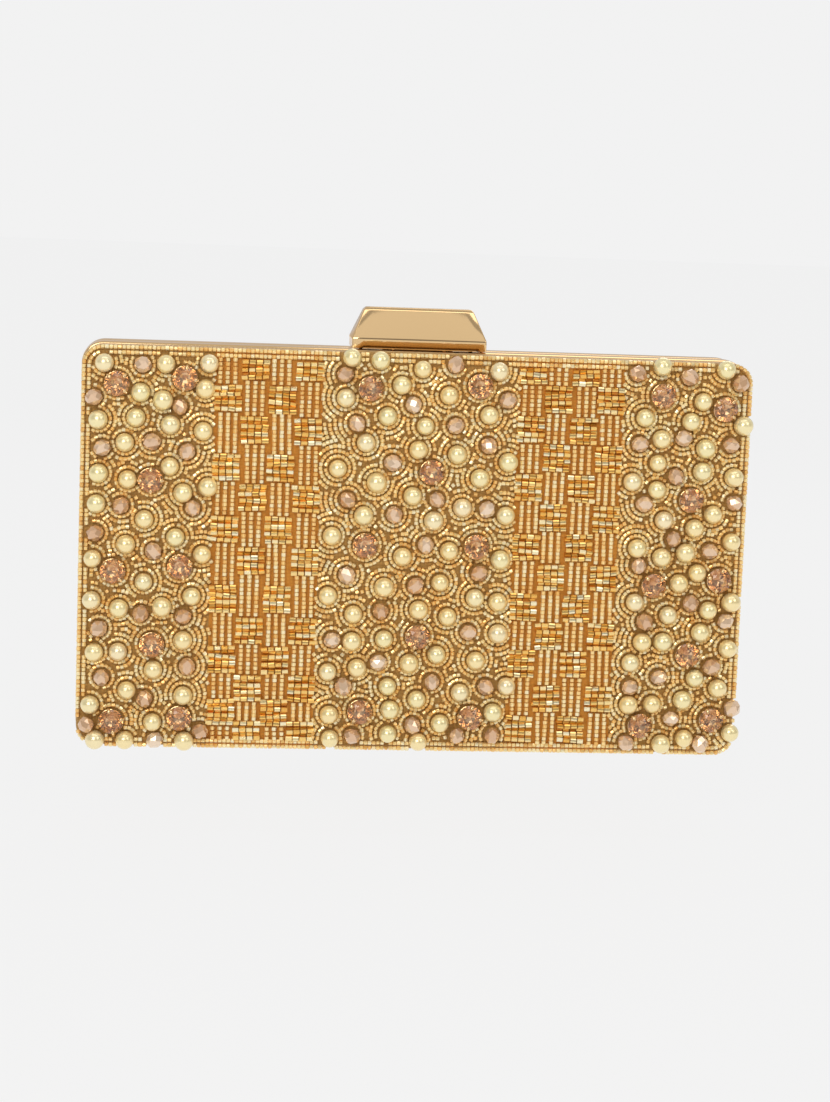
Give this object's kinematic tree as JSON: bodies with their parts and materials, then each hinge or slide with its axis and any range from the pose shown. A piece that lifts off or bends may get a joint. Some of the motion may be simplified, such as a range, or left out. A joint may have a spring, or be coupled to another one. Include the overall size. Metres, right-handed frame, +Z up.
{
  "type": "evening bag",
  "caption": "Hard evening bag that opens on a bottom hinge, with a faceted lever clasp on its metal frame and a front embroidered with pearls, stones and seed beads.",
  "frame": {"origin": "on the supporting plane, under the middle of the closed bag's box", "axes": "+Z up, +X across the bag, to the right as seen from the front; the beaded front faces -Y"},
  "size_m": [0.2092, 0.0462, 0.1383],
  "materials": {
    "gilt_metal": "polished gilt",
    "spring_steel": "bright",
    "shell_board": "plain",
    "padding_foam": "soft foam",
    "cover_fabric": "woven metallic cloth",
    "lining_satin": "satin",
    "gold_seed_beads": "silver-lined glass beads in close rows",
    "amber_bugle_beads": "silver-lined glass beads in basket weave",
    "topaz_stone": "faceted, in a gold prong cup"
  },
  "bodies": {
    "back_half": {"back_frame": "gilt_metal", "back_shell": "shell_board", "back_lining": "lining_satin", "back_padding": "padding_foam", "back_cover": "cover_fabric", "hinge_leaf_back": "gilt_metal", "hinge_pin": "spring_steel", "clasp_base": "gilt_metal", "clasp_pin": "spring_steel", "clasp_spring": "spring_steel", "clasp_base_rivet_1": "gilt_metal", "clasp_base_rivet_2": "gilt_metal"},
    "front_half": {"front_frame": "gilt_metal", "front_shell": "shell_board", "front_lining": "lining_satin", "front_padding": "padding_foam", "front_cover": "cover_fabric", "hinge_leaf_front": "gilt_metal", "bead_embroidery": "gold_seed_beads", "bead_weave_left": "amber_bugle_beads", "bead_weave_right": "amber_bugle_beads", "striker_plate": "gilt_metal", "striker_rivet_1": "gilt_metal", "striker_rivet_2": "gilt_metal", "stone_left_1": "topaz_stone", "stone_left_2": "topaz_stone", "stone_left_3": "topaz_stone", "stone_left_4": "topaz_stone", "stone_left_5": "topaz_stone", "stone_left_6": "topaz_stone", "stone_left_7": "topaz_stone", "stone_left_8": "topaz_stone", "stone_centre_1": "topaz_stone", "stone_centre_2": "topaz_stone", "stone_centre_3": "topaz_stone", "stone_centre_4": "topaz_stone", "stone_centre_5": "topaz_stone", "stone_centre_6": "topaz_stone", "stone_centre_7": "topaz_stone", "stone_centre_8": "topaz_stone", "stone_right_1": "topaz_stone", "stone_right_2": "topaz_stone", "stone_right_3": "topaz_stone", "stone_right_4": "topaz_stone", "stone_right_5": "topaz_stone", "stone_right_6": "topaz_stone", "stone_right_7": "topaz_stone", "stone_right_8": "topaz_stone"},
    "clasp_lever": {"clasp_cap": "gilt_metal", "clasp_hook": "gilt_metal"}
  },
  "joints": [
    {"name": "case_hinge", "type": "hinge", "parent": "back_half", "child": "front_half", "pos_m": [0, 0.003, 0.0016], "axis": [1, 0, 0], "range_deg": [0, 85]},
    {"name": "clasp_pivot", "type": "hinge", "parent": "back_half", "child": "clasp_lever", "pos_m": [0, 0.005, 0.128], "axis": [-1, 0, 0], "range_deg": [0, 30], "stiffness_Nm_per_rad": 0.03, "springref_deg": -17.19}
  ]
}
